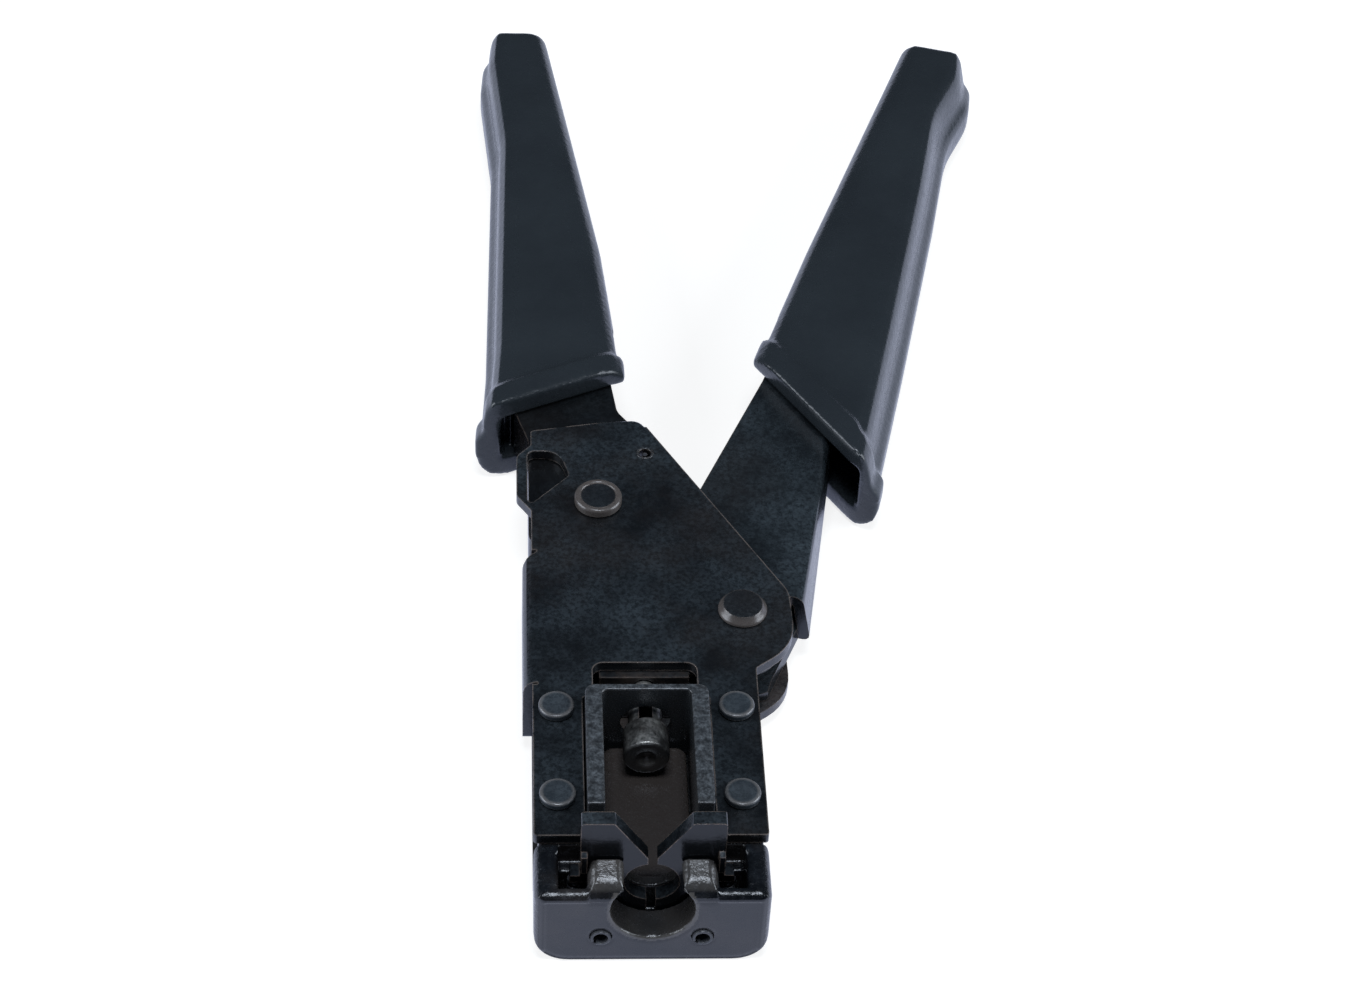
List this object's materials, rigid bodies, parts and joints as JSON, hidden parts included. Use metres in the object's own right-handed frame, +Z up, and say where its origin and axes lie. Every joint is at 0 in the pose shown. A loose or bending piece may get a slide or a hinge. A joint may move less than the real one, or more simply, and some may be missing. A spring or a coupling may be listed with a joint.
{
  "type": "coaxial connector compression tool",
  "caption": "Black plier-style compression tool: a keyhole nose with sprung jaws, a connector cradle and a plunger that the moving handle drives along the cable axis.",
  "frame": {"origin": "centre of the nose block's flat underside", "axes": "+Y along the connector axis from the nose to the handles, +Z up with the tool lying on its side plate, +X towards the moving handle"},
  "size_m": [0.0931, 0.2058, 0.024],
  "materials": {
    "plate_black_oxide": "black oxide, satin, oiled",
    "cast_black_oxide": "black oxide on a cast skin",
    "rivet_black_oxide": "black oxide, worn at the rims",
    "worn_black_oxide": "black oxide, rubbed",
    "spring_steel": "oiled",
    "grip_vinyl": "black vinyl, finely pebbled"
  },
  "bodies": {
    "frame": {"upper_side_plate": "plate_black_oxide", "lower_side_plate": "plate_black_oxide", "nose_block": "cast_black_oxide", "connector_cradle": "plate_black_oxide", "frame_rivet_front_left": "rivet_black_oxide", "frame_rivet_front_right": "rivet_black_oxide", "frame_rivet_rear_left": "rivet_black_oxide", "frame_rivet_rear_right": "rivet_black_oxide", "main_pivot_rivet": "rivet_black_oxide", "rear_rivet": "rivet_black_oxide", "fixed_handle": "plate_black_oxide", "fixed_grip": "grip_vinyl", "roll_pin_left": "spring_steel", "roll_pin_right": "spring_steel", "jaw_spring_left": "spring_steel", "jaw_spring_right": "spring_steel", "handle_return_spring": "spring_steel"},
    "moving_handle": {"moving_handle": "plate_black_oxide", "moving_grip": "grip_vinyl", "pivot_bush": "worn_black_oxide", "drive_pin": "worn_black_oxide"},
    "plunger": {"plunger_carriage": "worn_black_oxide", "plunger": "worn_black_oxide"},
    "jaw_left": {"jaw_left": "cast_black_oxide"},
    "jaw_right": {"jaw_right": "cast_black_oxide"}
  },
  "joints": [
    {"name": "handle_hinge", "type": "hinge", "parent": "frame", "child": "moving_handle", "pos_m": [0.0155, 0.0502, 0.0095], "axis": [0, 0, 1], "range_deg": [0, 18], "stiffness_Nm_per_rad": 0.6, "springref_deg": -14.32, "deforming": ["handle_return_spring"]},
    {"name": "plunger_slide", "type": "slide", "parent": "frame", "child": "plunger", "axis": [0, -1, 0], "range_m": [0, 0.0049]},
    {"name": "jaw_left_hinge", "type": "hinge", "parent": "frame", "child": "jaw_left", "pos_m": [-0.00735, 0.0018, 0.0055], "axis": [0, -1, 0], "range_deg": [0, 14], "stiffness_Nm_per_rad": 0.05, "springref_deg": -5.73, "deforming": ["jaw_spring_left"]},
    {"name": "jaw_right_hinge", "type": "hinge", "parent": "frame", "child": "jaw_right", "pos_m": [0.00735, 0.0018, 0.0055], "axis": [0, 1, 0], "range_deg": [0, 14], "stiffness_Nm_per_rad": 0.05, "springref_deg": -5.73, "deforming": ["jaw_spring_right"]}
  ],
  "couplings": [
    {"joint": "plunger_slide", "follows": "handle_hinge", "m_per_rad": 0.015436}
  ]
}
